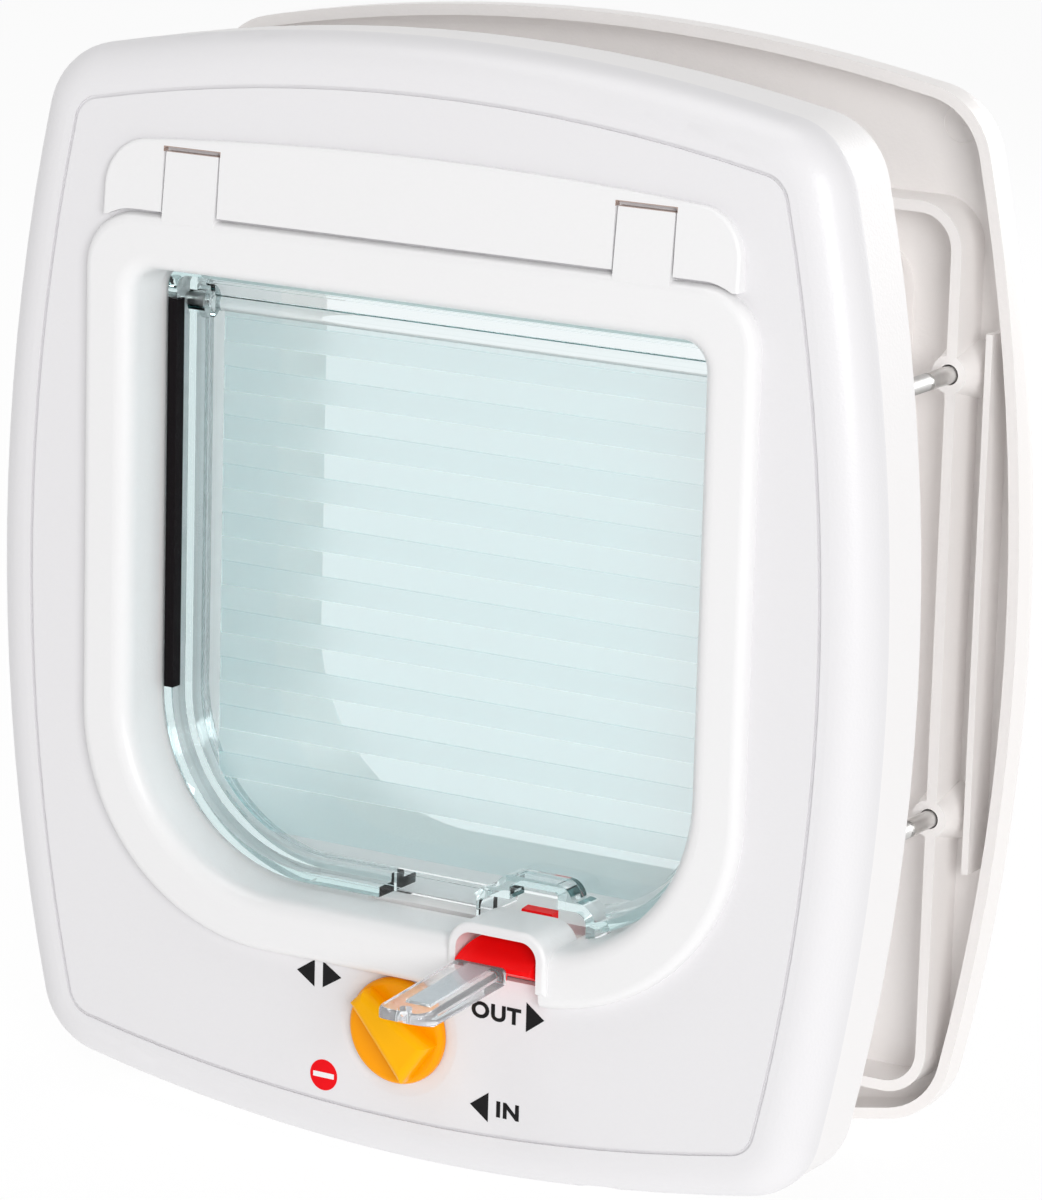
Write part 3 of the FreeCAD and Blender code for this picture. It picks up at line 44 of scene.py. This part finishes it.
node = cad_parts


# White covers and frames
# Injection-moulded ABS in a warm white, with a fine even spark texture on its faces.
# The inside cover clips and screws on its base, and the outside frame closes the far side of the door.
class Wire:
    """An output socket of a material; sums and products on it add Math nodes"""

    def __init__(self, tree, socket):
        self.tree = tree
        self.socket = socket

    def math(self, kind, first, second=0.0):
        made = self.tree.nodes.new("ShaderNodeMath")
        made.operation = kind
        for slot, value in zip(made.inputs, (first, second)):
            if isinstance(value, Wire):
                self.tree.links.new(value.socket, slot)
            else:
                slot.default_value = value
        return Wire(self.tree, made.outputs[0])

    def __add__(self, other):
        return self.math("ADD", self, other)

    def __sub__(self, other):
        return self.math("SUBTRACT", self, other)

    def __rsub__(self, other):
        return self.math("SUBTRACT", other, self)

    def __mul__(self, other):
        return self.math("MULTIPLY", self, other)

    def __truediv__(self, other):
        return self.math("DIVIDE", self, other)

    def __mod__(self, other):
        return self.math("FLOORED_MODULO", self, other)

    def __gt__(self, other):
        return self.math("GREATER_THAN", self, other)

    def __lt__(self, other):
        return self.math("LESS_THAN", self, other)

    def __abs__(self):
        return self.math("ABSOLUTE", self)

    __radd__ = __add__
    __rmul__ = __mul__


class Finish:
    """A material with a Principled shader, whose fixed values are given by the sockets' names"""

    def __init__(self, name, **values):
        self.material = bpy.data.materials.new(name)
        self.material.use_nodes = True
        self.tree = self.material.node_tree
        self.shader = self.tree.nodes["Principled BSDF"]
        for socket, value in values.items():
            self.shader.inputs[socket.replace("_", " ")].default_value = value

    def node(self, kind, settings=None, out=0, **sockets):
        """Add a node, set it up, give its sockets values or links, and return one of its outputs"""
        made = self.tree.nodes.new("ShaderNode" + kind)
        for name, value in (settings or {}).items():
            setattr(made, name, value)
        for name, value in sockets.items():
            slot = made.inputs[int(name[1:])] if name[1:].isdigit() else made.inputs[name]
            if isinstance(value, Wire):
                self.tree.links.new(value.socket, slot)
            else:
                slot.default_value = value
        return Wire(self.tree, made.outputs[out])

    def place(self):
        """Object coordinates, in metres"""
        return self.node("TexCoord", out=3)

    def along(self, axis):
        """One of the object coordinates"""
        return self.node("SeparateXYZ", out="XYZ".index(axis), Vector=self.place())

    def noise(self, scale, detail=2.0):
        return self.node("TexNoise", Vector=self.place(), Scale=scale, Detail=detail)

    def blend(self, factor, first, second):
        """Between two colours, or between a colour and a colour wire"""
        first = first if isinstance(first, Wire) else (*first, 1.0)
        return self.node("Mix", {"data_type": "RGBA"}, out=2, i0=factor, i6=first, i7=(*second, 1.0))

    def feed(self, socket, wire):
        self.tree.links.new(wire.socket, self.shader.inputs[socket])

    def grain(self, scale, depth):
        """A fine even texture as bump; depth in metres"""
        bump = self.node("Bump", Height=self.noise(scale, 3.0), Strength=1.0, Distance=depth)
        self.feed("Normal", bump)


# Painted shadow: a warm brown strip on the hinge cover and flap surround, in the gap above each tab.
painted_gap_shadow = (0.30, 0.17, 0.12)
painted_shadow_across = (0.0498, 0.0648)
painted_shadow_height = (0.09625, 0.0975)


def moulded_white(name, tint, rough=0.34, paint_gap_shadow=False):
    finish = Finish(name, IOR=1.5, Specular_IOR_Level=0.5)
    cloud = finish.noise(9.0, 3.0)
    colour = finish.blend(cloud, tuple(value * 0.975 for value in tint), tint)
    # Painted shadow: the gap above each tab is coloured a warm brown.
    if paint_gap_shadow:
        across = abs(finish.along("X"))
        height = finish.along("Z")
        painted_shadow_notch = (across > painted_shadow_across[0]) * (across < painted_shadow_across[1])
        painted_shadow_notch = painted_shadow_notch * (height > painted_shadow_height[0]) * (height < painted_shadow_height[1])
        colour = finish.blend(painted_shadow_notch * 0.8, colour, painted_gap_shadow)
    finish.feed("Base Color", colour)
    finish.feed("Roughness", rough - 0.05 + finish.noise(35.0, 2.0) * 0.1)
    finish.grain(1400.0, 0.00006)
    return finish.material


def dress(material, *names):
    for name in names:
        node[name].data.materials.clear()
        node[name].data.materials.append(material)


# The four whites differ partly in the parts' own tone and partly as painted light: each is set to the brightness
# its part shows under the light. The inside cover is darker, and the outside frame is lighter to stand in for
# light on its shaded inner face.
dress(moulded_white("white_cover", (0.80, 0.79, 0.805)), "inside_frame")
# The hinge cover and flap surround carry the painted shadow in the gaps above the tabs.
dress(moulded_white("white_ring", (0.855, 0.85, 0.855), paint_gap_shadow=True), "hinge_cover", "flap_surround")
dress(moulded_white("white_base", (0.88, 0.865, 0.865), 0.42), "base_frame", "lock_cover")
dress(moulded_white("white_outside", (0.93, 0.90, 0.885), 0.38), "outside_frame")


# Printed signs on the cover
# Black words and arrows and a red no-entry disc, pad-printed round the knob as one thin film of ink.
# They name the four places of the knob: the way in, the way out, both, and neither.
cover_face = -0.025
ink_depth = 0.00006
black_ink = Finish("ink_black", Roughness=0.5, Specular_IOR_Level=0.1)
black_ink.feed(
    "Base Color", black_ink.blend(black_ink.noise(900.0), (0.006, 0.006, 0.007), (0.016, 0.015, 0.016)))
red_ink = Finish("ink_red", Roughness=0.5, Specular_IOR_Level=0.1)
red_ink.feed("Base Color", red_ink.blend(red_ink.noise(900.0), (0.80, 0.002, 0.006), (0.90, 0.004, 0.010)))
white_ink = Finish("ink_white", Roughness=0.45)
white_ink.feed("Base Color", white_ink.blend(white_ink.noise(900.0), (0.86, 0.85, 0.85), (0.9, 0.89, 0.89)))


def print_on_cover(piece, name, ink, low_x, high_x, low_z, high_z, layer=1):
    """Stand a flat shape against the cover, fitted to its place, and give it the thickness of ink"""
    piece.name = name
    flat = [corner.co for corner in piece.data.vertices]
    low = [min(point[axis] for point in flat) for axis in (0, 1)]
    high = [max(point[axis] for point in flat) for axis in (0, 1)]
    wide = (high_x - low_x) / (high[0] - low[0])
    tall = (high_z - low_z) / (high[1] - low[1])
    piece.data.transform(
        Matrix.Translation((low_x, cover_face - ink_depth * (layer - 1), low_z))
        @ Matrix.Rotation(math.pi / 2, 4, "X")
        @ Matrix.Diagonal((wide, tall, 1.0, 1.0))
        @ Matrix.Translation((-low[0], -low[1], 0.0)))
    piece.data.materials.append(ink.material)
    bpy.context.view_layer.objects.active = piece
    film = piece.modifiers.new("film", "SOLIDIFY")
    film.thickness = ink_depth
    film.offset = 1.0
    bpy.ops.object.modifier_apply(modifier="film")
    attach(piece, "frame")
    piece.select_set(False)


def word(text, *place):
    bpy.ops.object.text_add()
    letters = bpy.context.object
    letters.data.body = text
    letters.data.size = 0.005
    letters.data.offset = 0.00019
    letters.data.space_character = 1.1
    letters.data.resolution_u = 4
    bpy.ops.object.convert(target="MESH")
    print_on_cover(bpy.context.object, "word_" + text.lower(), black_ink, *place)


def arrow(name, points_left, *place):
    bpy.ops.mesh.primitive_circle_add(
        vertices=3, radius=0.003, fill_type="NGON", rotation=(0.0, 0.0, math.pi / 2 * (1 if points_left else -1)))
    bpy.ops.object.transform_apply()
    print_on_cover(bpy.context.object, name, black_ink, *place)


word("OUT", 0.0187, 0.0314, -0.0874, -0.0835)
word("IN", 0.0257, 0.0315, -0.1093, -0.1056)
arrow("arrow_both_in", True, -0.0272, -0.0225, -0.0881, -0.0818)
arrow("arrow_both_out", False, -0.0203, -0.0154, -0.0879, -0.0818)
arrow("arrow_out", False, 0.0327, 0.0373, -0.0884, -0.0816)
arrow("arrow_in", True, 0.0189, 0.0236, -0.1109, -0.1041)
bpy.ops.mesh.primitive_circle_add(vertices=48, radius=0.0036, fill_type="NGON")
print_on_cover(bpy.context.object, "no_entry_disc", red_ink, -0.0232, -0.0160, -0.1119, -0.1047)
bpy.ops.mesh.primitive_plane_add(size=0.004)
bpy.ops.object.mode_set(mode="EDIT")
bpy.ops.mesh.bevel(offset=0.0002, segments=2, affect="VERTICES")
bpy.ops.object.mode_set(mode="OBJECT")
print_on_cover(bpy.context.object, "no_entry_bar", white_ink, -0.02235, -0.01685, -0.1089, -0.1077, 2)


# Clear flap
# A polycarbonate pane moulded in one with its rim; its blue-green tint deepens with the thickness.
# Its level bands are frosted in the mould, and the faces between them are polished.
flap = Finish(
    "flap_clear", Base_Color=(0.97, 0.99, 1.0, 1.0), Transmission_Weight=1.0, IOR=1.49)
band_pitch = 0.0112
band_height = 0.0056
band_low = -0.0496
band_high = 0.0568
height = flap.along("Z")
depth = flap.along("Y")
rim_half = 0.062
pane_reach = 0.0605
pane_front = -0.0055
band_floor = -0.00425
band_crest = -0.0048
within_rim = abs(flap.along("X")) < rim_half
step = (height - band_low) % band_pitch
banded = (step < band_height) * (height > band_low) * (height < band_high)
flap.feed("Roughness", 0.02 + banded * within_rim * (depth > -0.006) * 0.33)
upright = flap.node("SeparateXYZ", out=2, Vector=flap.node("NewGeometry", out=1))
band_edge = (abs(upright) > 0.9) * within_rim * (depth > band_crest) * (depth < band_floor)
front_skin = within_rim * (abs(height) < pane_reach) * (depth < band_floor) * (depth > pane_front)
milky = flap.node("BsdfDiffuse", Color=(0.52, 0.97, 1.0, 1.0))
clear = Wire(flap.tree, flap.shader.outputs[0])
skin = flap.node("MixShader", i0=front_skin * 0.27, i1=clear, i2=milky)
unseen = flap.node("BsdfTransparent")
surface = flap.node("MixShader", i0=band_edge, i1=skin, i2=unseen)
tint = flap.node("VolumeAbsorption", Color=(0.62, 0.80, 0.80, 1.0), Density=70.0)
flap_output = flap.tree.nodes["Material Output"]
flap.tree.links.new(surface.socket, flap_output.inputs["Surface"])
flap.tree.links.new(tint.socket, flap_output.inputs["Volume"])
dress(flap.material, "flap_panel")


# Draught strips
# Black foam tape let into the front of the flap's rim, one down each side.
strip = Finish("black_foam", Roughness=0.85, Specular_IOR_Level=0.15)
strip.feed("Base Color", strip.blend(strip.noise(700.0), (0.003, 0.002, 0.003), (0.007, 0.005, 0.006)))
strip.grain(2600.0, 0.0002)
dress(strip.material, "draught_strip_left", "draught_strip_right")


# Latch
# Red nylon lever on a steel pin, with a small bar magnet pressed in its front.
red = Finish("latch_red", Specular_IOR_Level=0.15)
red.feed("Base Color", red.blend(red.noise(60.0), (0.92, 0.001, 0.002), (1.0, 0.002, 0.003)))
red.feed("Roughness", 0.28 + red.noise(200.0) * 0.08)
red.grain(2200.0, 0.00004)
dress(red.material, "latch")


# Magnet key
# A clear case that holds a plated bar magnet; its tip carries an eyelet for a collar.
key = Finish("key_clear", Base_Color=(0.98, 0.985, 1.0, 1.0), Transmission_Weight=0.86, IOR=1.38)
key.feed("Roughness", 0.03 + key.noise(400.0) * 0.05)
dress(key.material, "key_case")
plated = Finish("plated_magnet", Metallic=0.5)
plated.feed("Base Color", plated.blend(plated.noise(700.0), (0.55, 0.56, 0.59), (0.74, 0.75, 0.78)))
plated.feed("Roughness", 0.28 + plated.noise(900.0) * 0.15)
dress(plated.material, "key_magnet", "latch_magnet")


# Selector knob
# Orange plastic with a high polish, and a tapered ridge that points at the printed signs.
orange = Finish("knob_orange", Specular_IOR_Level=0.12)
knob_height = 0.012
# Painted light and shade: the orange is darker at the knob's foot and lighter towards its top, as light falls on
# the ridge.
knob_painted_light_rise = (cover_face - orange.along("Y")) / knob_height
painted_shade_orange = orange.blend(orange.noise(80.0), (0.94, 0.30, 0.0), (1.0, 0.35, 0.0))
orange.feed("Base Color", orange.blend(knob_painted_light_rise, painted_shade_orange, (1.0, 0.56, 0.0)))
orange.feed("Roughness", 0.16 + orange.noise(300.0) * 0.06)
dress(orange.material, "selector_knob")


# Lock works behind the knob
# Grey acetal disc, spring-steel leaf, zinc-plated screws and pins, and turned brass inserts.
grey = Finish("disc_grey")
grey.feed("Base Color", grey.blend(grey.noise(50.0), (0.30, 0.31, 0.32), (0.36, 0.37, 0.38)))
grey.feed("Roughness", 0.4 + grey.noise(120.0) * 0.1)
dress(grey.material, "selector_disc")
zinc = Finish("zinc_plate", Metallic=1.0)
zinc.feed("Base Color", zinc.blend(zinc.noise(500.0), (0.58, 0.58, 0.58), (0.72, 0.71, 0.69)))
zinc.feed("Roughness", 0.25 + zinc.noise(900.0) * 0.2)
dress(
    zinc.material, "hinge_pin_left", "hinge_pin_right", "latch_pin", "detent_spring", "lock_cover_screws",
    "cover_screws", "frame_screws", "selector_screw")
brass = Finish("brass_insert", Metallic=1.0)
brass.feed("Base Color", brass.blend(brass.noise(500.0), (0.68, 0.48, 0.20), (0.78, 0.58, 0.28)))
brass.feed("Roughness", 0.25 + brass.noise(900.0) * 0.15)
dress(brass.material, "thread_inserts")


# Long frame screws
# Zinc-plated M4 machine screws with a rolled thread, a smooth shank and a cross-slotted pan head.
# They pass the outside frame's bosses and hold in the brass inserts of the base.
screw_radius = 0.00198
thread_pitch = 0.0007
thread_depth = 0.00043
thread_start = -0.0108
thread_end = 0.0360
head_radius = 0.0037
head_depth = 0.0024
head_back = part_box("frame_screws")[1][1]
head_front = head_back - head_depth


def rod(radius, from_y, to_y, sides=24):
    bpy.ops.mesh.primitive_cylinder_add(
        vertices=sides, radius=radius, depth=to_y - from_y, location=(0.0, (from_y + to_y) / 2, 0.0),
        rotation=(math.pi / 2, 0.0, 0.0))
    bpy.ops.object.transform_apply()
    return bpy.context.object


core = rod(screw_radius - thread_depth, thread_start, thread_end)
shank = rod(screw_radius, thread_end - 0.0003, head_front + 0.0002, 32)
thread_ridge = thread_depth * 0.72
bpy.ops.mesh.primitive_circle_add(vertices=3, radius=thread_ridge, fill_type="NOTHING")
thread = bpy.context.object
thread.data.transform(
    Matrix.Translation((screw_radius - thread_ridge, thread_start + thread_pitch, 0.0))
    @ Matrix.Rotation(-math.pi / 2, 4, "Z"))
turns = int((thread_end - thread_start) / thread_pitch) - 2
coil = thread.modifiers.new("coil", "SCREW")
coil.axis = "Y"
coil.steps = 20
coil.render_steps = 20
coil.screw_offset = thread_pitch
coil.iterations = turns
bpy.ops.object.modifier_apply(modifier="coil")
bpy.ops.object.mode_set(mode="EDIT")
bpy.ops.mesh.select_all(action="SELECT")
bpy.ops.mesh.fill_holes(sides=4)
bpy.ops.mesh.select_all(action="SELECT")
bpy.ops.mesh.normals_make_consistent(inside=False)
bpy.ops.object.mode_set(mode="OBJECT")
head = rod(head_radius, head_front, head_back, 40)
bpy.ops.object.mode_set(mode="EDIT")
bpy.ops.mesh.select_all(action="DESELECT")
bpy.ops.object.mode_set(mode="OBJECT")
for edge in head.data.edges:
    edge.select = all(head.data.vertices[end].co.y > head_back - 0.0001 for end in edge.vertices)
bpy.ops.object.mode_set(mode="EDIT")
bpy.ops.mesh.bevel(offset=0.0009, segments=5)
bpy.ops.object.mode_set(mode="OBJECT")
slot_size = (0.0038, 0.0026, 0.0008)
for turned in (0.0, math.pi / 2):
    bpy.ops.mesh.primitive_cube_add(size=1.0)
    slot = bpy.context.object
    slot.data.transform(
        Matrix.Translation((0.0, head_back, 0.0)) @ Matrix.Rotation(turned, 4, "Y")
        @ Matrix.Diagonal((*slot_size, 1.0)))
    cut = head.modifiers.new("slot", "BOOLEAN")
    cut.operation = "DIFFERENCE"
    cut.object = slot
    bpy.context.view_layer.objects.active = head
    bpy.ops.object.modifier_apply(modifier="slot")
    bpy.data.objects.remove(slot)
bpy.ops.object.select_all(action="DESELECT")
for part in (core, shank, thread, head):
    part.select_set(True)
bpy.context.view_layer.objects.active = core
bpy.ops.object.join()
bpy.ops.object.shade_smooth_by_angle(angle=math.radians(35))
core.data.materials.clear()
core.data.materials.append(zinc.material)
screw_across = 0.0932
screw_low = -0.046
screw_high = 0.0545
spots = [(side * screw_across, level) for side in (-1, 1) for level in (screw_low, screw_high)]
for number, (across, level) in enumerate(spots):
    screw = core.copy()
    screw.data = core.data.copy()
    screw.name = f"frame_screw_{number + 1}"
    screw.data.transform(Matrix.Translation((across, 0.0, level)))
    bpy.context.collection.objects.link(screw)
    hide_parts("frame_screws")
    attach(screw, "frame")
bpy.data.objects.remove(core)


# Mould mark
# A shallow raised ring with a pointer, left by an insert in the mould.
# It stands on the outside frame's inner face, near its upper right corner.
mark_spot = Vector((0.088, 0.0574, 0.108))
bpy.ops.mesh.primitive_torus_add(
    major_radius=0.0043, minor_radius=0.00016, major_segments=48, minor_segments=8,
    rotation=(math.pi / 2, 0.0, 0.0))
bpy.ops.object.transform_apply()
ring = bpy.context.object
bpy.ops.mesh.primitive_cone_add(
    vertices=3, radius1=0.0011, radius2=0.0008, depth=0.0003, rotation=(math.pi / 2, 0.4, 0.0))
bpy.ops.object.transform_apply()
pointer = bpy.context.object
ring.select_set(True)
bpy.context.view_layer.objects.active = ring
bpy.ops.object.join()
ring.name = "mould_mark"
ring.data.transform(Matrix.Translation(mark_spot))
ring.data.materials.clear()
ring.data.materials.append(node["outside_frame"].data.materials[0])
bpy.ops.object.shade_smooth_by_angle(angle=math.radians(35))
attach(ring, "frame")


# Floor, light and camera
# A white sweep under soft light from all round; the camera stands where the photograph's did.
floor_level = -0.126
floor_glow = 0.9
white_floor = bpy.data.materials.new("floor_white")
white_floor.use_nodes = True
tree = white_floor.node_tree
tree.nodes.clear()
glow = tree.nodes.new("ShaderNodeEmission")
glow.inputs["Color"].default_value = (1.0, 1.0, 1.0, 1.0)
glow.inputs["Strength"].default_value = 1.03
matt = tree.nodes.new("ShaderNodeBsdfDiffuse")
matt.inputs["Color"].default_value = (0.92, 0.92, 0.92, 1.0)
mix = tree.nodes.new("ShaderNodeMixShader")
mix.inputs[0].default_value = floor_glow
out = tree.nodes.new("ShaderNodeOutputMaterial")
tree.links.new(matt.outputs[0], mix.inputs[1])
tree.links.new(glow.outputs[0], mix.inputs[2])
tree.links.new(mix.outputs[0], out.inputs["Surface"])

bpy.ops.mesh.primitive_plane_add(size=14.0)
floor = bpy.context.object
floor.name = "floor"
floor.data.transform(Matrix.Translation((0.0, 0.0, floor_level)))
floor.data.materials.append(white_floor)

world = bpy.data.worlds.new("studio")
bpy.context.scene.world = world
world.use_nodes = True
tree = world.node_tree
tree.nodes.clear()
path = tree.nodes.new("ShaderNodeLightPath")
through = tree.nodes.new("ShaderNodeMath")
through.operation = "MAXIMUM"
tree.links.new(path.outputs["Is Glossy Ray"], through.inputs[0])
tree.links.new(path.outputs["Is Transmission Ray"], through.inputs[1])
seen = tree.nodes.new("ShaderNodeMath")
seen.operation = "MAXIMUM"
tree.links.new(path.outputs["Is Camera Ray"], seen.inputs[0])
tree.links.new(through.outputs[0], seen.inputs[1])
backdrop = tree.nodes.new("ShaderNodeBackground")
backdrop.inputs["Color"].default_value = (1.0, 1.0, 1.0, 1.0)
backdrop.inputs["Strength"].default_value = 1.0
fill = tree.nodes.new("ShaderNodeBackground")
fill.inputs["Color"].default_value = (1.0, 1.0, 1.0, 1.0)
fill.inputs["Strength"].default_value = 0.32
choose = tree.nodes.new("ShaderNodeMixShader")
out = tree.nodes.new("ShaderNodeOutputWorld")
tree.links.new(seen.outputs[0], choose.inputs[0])
tree.links.new(fill.outputs[0], choose.inputs[1])
tree.links.new(backdrop.outputs[0], choose.inputs[2])
tree.links.new(choose.outputs[0], out.inputs["Surface"])


def softbox(name, power, size, spot, target=(0.0, 0.0, 0.0)):
    bpy.ops.object.light_add(type="AREA", location=spot)
    lamp = bpy.context.object
    lamp.name = name
    lamp.data.energy = power
    lamp.data.size = size
    aim = Vector(target) - Vector(spot)
    lamp.rotation_euler = aim.to_track_quat("-Z", "Y").to_euler()


softbox("key_light", 27.0, 0.9, (1.6, -1.6, 0.5))
softbox("back_light", 9.0, 0.6, (0.28, 1.4, 0.3))
softbox("top_light", 6.0, 0.9, (-0.3, -0.3, 1.4))

camera_azimuth = math.radians(30.71)
camera_elevation = math.radians(13.286)
camera_roll = math.radians(1.545)
bpy.ops.object.camera_add(location=(0.60942, -1.00298, 0.27672))
camera = bpy.context.object
camera.data.sensor_width = 36.0
camera.data.lens = 163.1
turn = (
    Matrix.Rotation(camera_azimuth, 4, "Z")
    @ Matrix.Rotation(math.pi / 2 - camera_elevation, 4, "X")
    @ Matrix.Rotation(camera_roll, 4, "Z"))
camera.rotation_euler = turn.to_euler()
bpy.context.scene.camera = camera
bpy.context.scene.view_settings.view_transform = "Standard"
